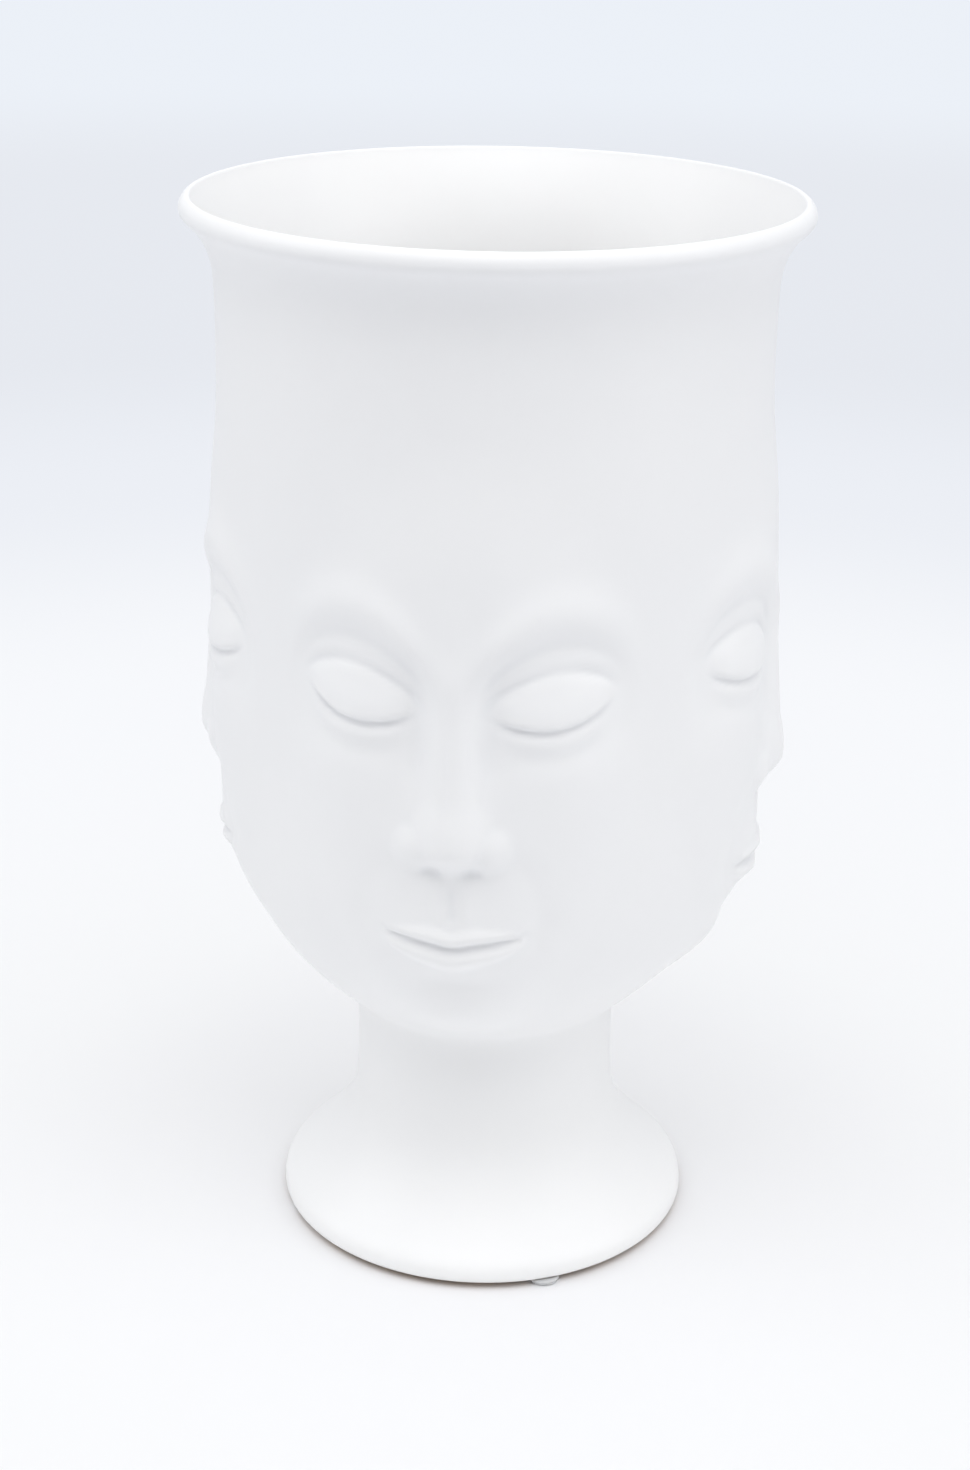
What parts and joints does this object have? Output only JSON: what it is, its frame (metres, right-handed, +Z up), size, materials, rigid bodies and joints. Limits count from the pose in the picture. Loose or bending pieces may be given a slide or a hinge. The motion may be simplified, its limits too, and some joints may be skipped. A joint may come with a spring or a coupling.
{
  "type": "face vase",
  "caption": "Footed white ceramic vase with calm closed-eye faces modelled round a tall bowl, a flared lip and a bell foot on clear bumpers.",
  "frame": {"origin": "centre of the circle of bumpers, on the surface that the vase stands on", "axes": "+Z up along the vase's turning axis, -Y out through the nose of one face, +X out through the nose of the face to its right"},
  "size_m": [0.1636, 0.1636, 0.2936],
  "materials": {
    "white_glaze": "matte white glaze, unglazed foot ring",
    "clear_bumper": "clear soft polyurethane"
  },
  "bodies": {
    "root": {"bowl": "white_glaze", "pedestal": "white_glaze", "bumper_1": "clear_bumper", "bumper_2": "clear_bumper", "bumper_3": "clear_bumper", "bumper_4": "clear_bumper"}
  },
  "joints": []
}
